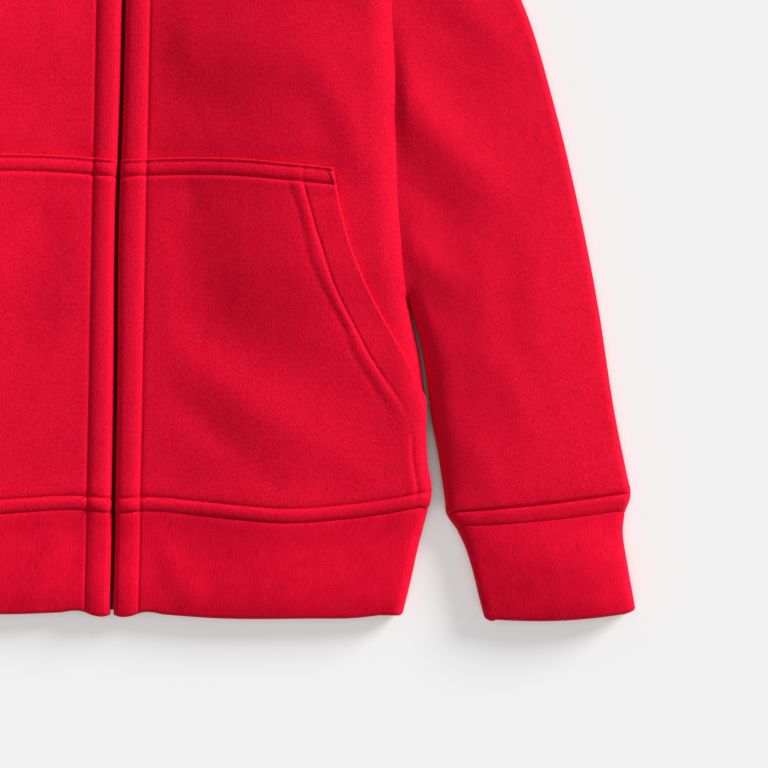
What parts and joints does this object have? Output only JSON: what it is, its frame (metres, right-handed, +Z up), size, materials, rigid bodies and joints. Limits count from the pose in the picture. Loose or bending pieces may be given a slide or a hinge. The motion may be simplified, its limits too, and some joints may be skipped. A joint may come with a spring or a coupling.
{
  "type": "kids zip hoodie",
  "caption": "Child's red zip-through hooded fleece sweatshirt laid out flat, with split kangaroo pocket, ribbed hem band and cuffs, and a covered zip whose pull tab turns.",
  "frame": {"origin": "on the table, under the middle of the garment's laid-out box", "axes": "+X to the wearer's left, +Y from the hem to the hood, +Z up from the table"},
  "size_m": [0.5078, 0.6, 0.0137],
  "materials": {
    "red_fleece": "brushed cotton fleece with a fine jersey face",
    "red_rib": "fine 1x1 knitted rib",
    "red_tape": "woven zip tape",
    "red_plastic": "moulded zip teeth",
    "red_metal": "red lacquered zip slider"
  },
  "bodies": {
    "garment": {"back_panel": "red_fleece", "front_left": "red_fleece", "front_right": "red_fleece", "pocket_left": "red_fleece", "pocket_right": "red_fleece", "sleeve_left": "red_fleece", "sleeve_right": "red_fleece", "hood_left": "red_fleece", "hood_right": "red_fleece", "hem_band": "red_rib", "cuff_left": "red_rib", "cuff_right": "red_rib", "zip_tape_left": "red_tape", "zip_tape_right": "red_tape", "zip_chain": "red_plastic", "zip_box": "red_plastic", "zip_slider": "red_metal"},
    "pull": {"zip_pull": "red_metal"}
  },
  "joints": [
    {"name": "pull_turn", "type": "hinge", "parent": "garment", "child": "pull", "pos_m": [0, 0.036, 0.0083], "axis": [-1, 0, 0], "range_deg": [0, 150]}
  ]
}
